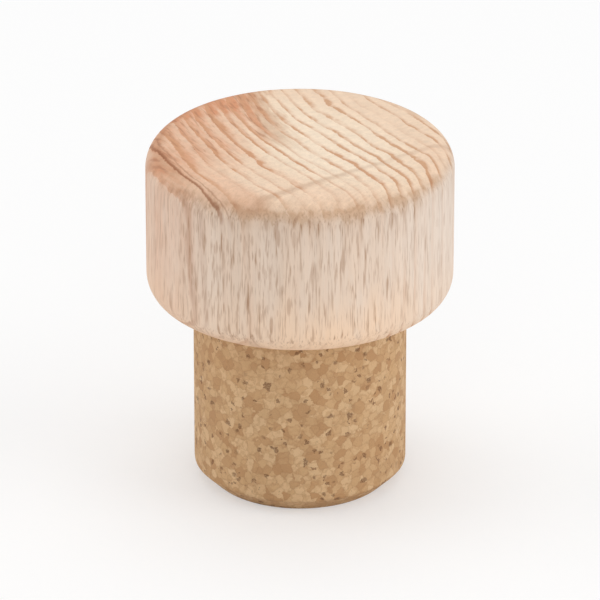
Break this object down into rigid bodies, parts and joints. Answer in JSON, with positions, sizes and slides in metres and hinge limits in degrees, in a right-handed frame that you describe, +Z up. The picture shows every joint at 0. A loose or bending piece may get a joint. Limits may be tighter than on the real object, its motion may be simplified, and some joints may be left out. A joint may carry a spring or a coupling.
{
  "type": "wooden bottle stopper",
  "caption": "Bottle stopper with a turned wooden head, rounded at both rims, glued onto a plain cylindrical cork shank that presses into a bottle's neck.",
  "frame": {"origin": "centre of the cork shank's flat lower end, on which the stopper stands", "axes": "+Z up along the stopper's axis, from the cork towards the head's flat top; the part is round, so +X and +Y are free"},
  "size_m": [0.028, 0.028, 0.033],
  "materials": {
    "head_wood": "fine-sanded raw beech, matte, end grain on top and vertical grain on the side",
    "shank_cork": "ground smooth fine-grained agglomerated cork, matte"
  },
  "bodies": {
    "root": {"head": "head_wood", "shank": "shank_cork"}
  },
  "joints": []
}
